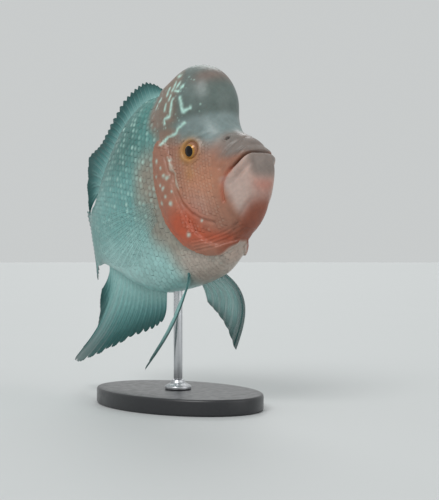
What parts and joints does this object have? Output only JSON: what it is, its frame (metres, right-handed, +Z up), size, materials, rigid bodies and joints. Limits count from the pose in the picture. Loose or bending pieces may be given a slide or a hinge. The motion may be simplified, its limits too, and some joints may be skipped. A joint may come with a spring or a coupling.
{
  "type": "flowerhorn cichlid",
  "caption": "Deep-bodied aquarium fish with a tall nuchal hump, tail swung to its left, held nose-up over a flat oval base by a slim rod.",
  "frame": {"origin": "on the floor at the middle of the stand base's underside, below the rod", "axes": "+X towards the fish's nose, +Y to the fish's left, +Z up; the underside of the base is at Z 0"},
  "size_m": [0.2301, 0.0878, 0.2149],
  "materials": {
    "head_skin": "wet salmon skin with small scales",
    "jaw_skin": "wet pale pink skin without scales",
    "hump_skin": "wet mauve grey skin with pearly marks",
    "gill_cover_skin": "wet orange red skin with pearly spots",
    "trunk_skin": "wet pale silvery teal scales",
    "tail_skin": "wet silvery teal scales",
    "eye": "clear wet eye with an orange iris and a black pupil",
    "dark_fin": "wet dark teal membrane with rays",
    "clear_fin": "wet clear membrane with pale rays",
    "stand_base": "satin black",
    "stand_metal": "brushed"
  },
  "bodies": {
    "root": {"head": "head_skin", "lower_jaw": "jaw_skin", "nuchal_hump": "hump_skin", "gill_cover_right": "gill_cover_skin", "gill_cover_left": "gill_cover_skin", "trunk": "trunk_skin", "tail_stalk": "tail_skin", "eye_right": "eye", "eye_left": "eye", "dorsal_fin": "dark_fin", "anal_fin": "dark_fin", "caudal_fin": "dark_fin", "pelvic_fin_right": "dark_fin", "pelvic_fin_left": "dark_fin", "pectoral_fin_right": "clear_fin", "pectoral_fin_left": "clear_fin", "stand_base": "stand_base", "stand_collar": "stand_metal", "stand_rod": "stand_metal"}
  },
  "joints": []
}
